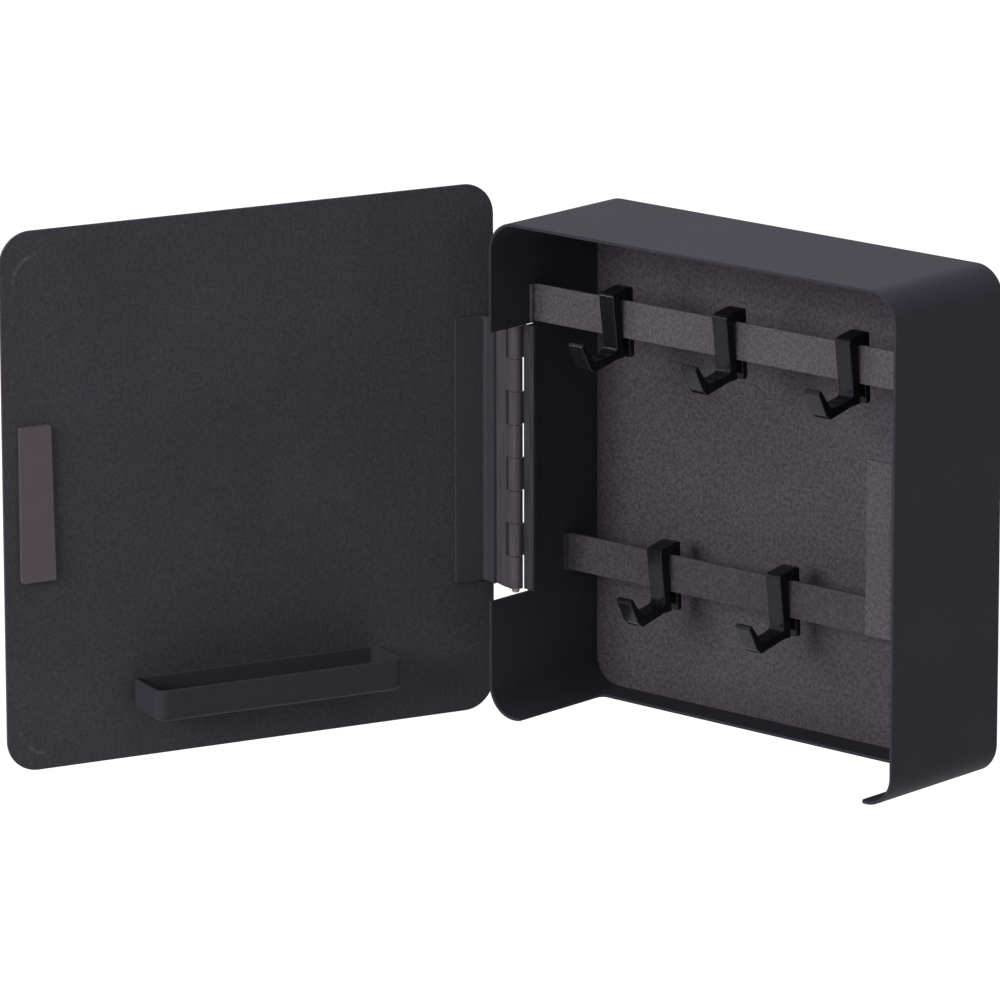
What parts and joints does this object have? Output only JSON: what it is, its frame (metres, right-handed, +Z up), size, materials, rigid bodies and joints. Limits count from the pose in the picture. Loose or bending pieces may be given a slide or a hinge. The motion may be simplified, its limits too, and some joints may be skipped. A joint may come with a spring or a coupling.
{
  "type": "magnetic key box",
  "caption": "Shallow wall-hung steel key box with rounded corners, sliding hooks on rails, open bottom, hinged door with magnetic catch and key tray.",
  "frame": {"origin": "centre of the back magnet sheet's rear face", "axes": "+X to the right seen from the front, +Y towards the surface the box hangs on, +Z up"},
  "size_m": [0.2822, 0.2225, 0.2],
  "materials": {
    "casing_paint": "fine textured matte powder coat",
    "back_paint": "fine textured matte powder coat",
    "rail_paint": "fine textured matte powder coat",
    "door_paint": "fine textured matte powder coat",
    "hinge_paint": "smooth satin paint",
    "pin_steel": "drawn steel wire",
    "hook_plastic": "glossy black moulding",
    "tray_plastic": "satin moulding",
    "strip_magnet": "smooth flexible magnet",
    "magnet_rubber": "smooth flexible magnet",
    "pad_foam": "double-sided foam tape"
  },
  "bodies": {
    "case": {"casing": "casing_paint", "back_panel": "back_paint", "back_magnet_sheet": "magnet_rubber", "upper_hook_rail": "rail_paint", "lower_hook_rail": "rail_paint", "catch_plate": "rail_paint", "hinge_body_leaf": "hinge_paint", "hinge_pin": "pin_steel"},
    "door": {"door_panel": "door_paint", "door_hinge_bracket": "door_paint", "hinge_door_leaf": "hinge_paint", "door_magnet_strip": "strip_magnet", "key_tray": "tray_plastic", "tray_pad": "pad_foam"},
    "upper_left_hook": {"upper_left_hook": "hook_plastic"},
    "upper_middle_hook": {"upper_middle_hook": "hook_plastic"},
    "upper_right_hook": {"upper_right_hook": "hook_plastic"},
    "lower_left_hook": {"lower_left_hook": "hook_plastic"},
    "lower_right_hook": {"lower_right_hook": "hook_plastic"}
  },
  "joints": [
    {"name": "door_hinge", "type": "hinge", "parent": "case", "child": "door", "pos_m": [-0.0977, -0.0447, 0], "axis": [0, 0, -1], "range_deg": [-111, 69]},
    {"name": "upper_left_slide", "type": "slide", "parent": "case", "child": "upper_left_hook", "axis": [1, 0, 0], "range_m": [-0.029, 0.022]},
    {"name": "upper_middle_slide", "type": "slide", "parent": "case", "child": "upper_middle_hook", "axis": [1, 0, 0], "range_m": [-0.022, 0.024]},
    {"name": "upper_right_slide", "type": "slide", "parent": "case", "child": "upper_right_hook", "axis": [1, 0, 0], "range_m": [-0.024, 0.027]},
    {"name": "lower_left_slide", "type": "slide", "parent": "case", "child": "lower_left_hook", "axis": [1, 0, 0], "range_m": [-0.036, 0.024]},
    {"name": "lower_right_slide", "type": "slide", "parent": "case", "child": "lower_right_hook", "axis": [1, 0, 0], "range_m": [-0.024, 0.07]}
  ]
}
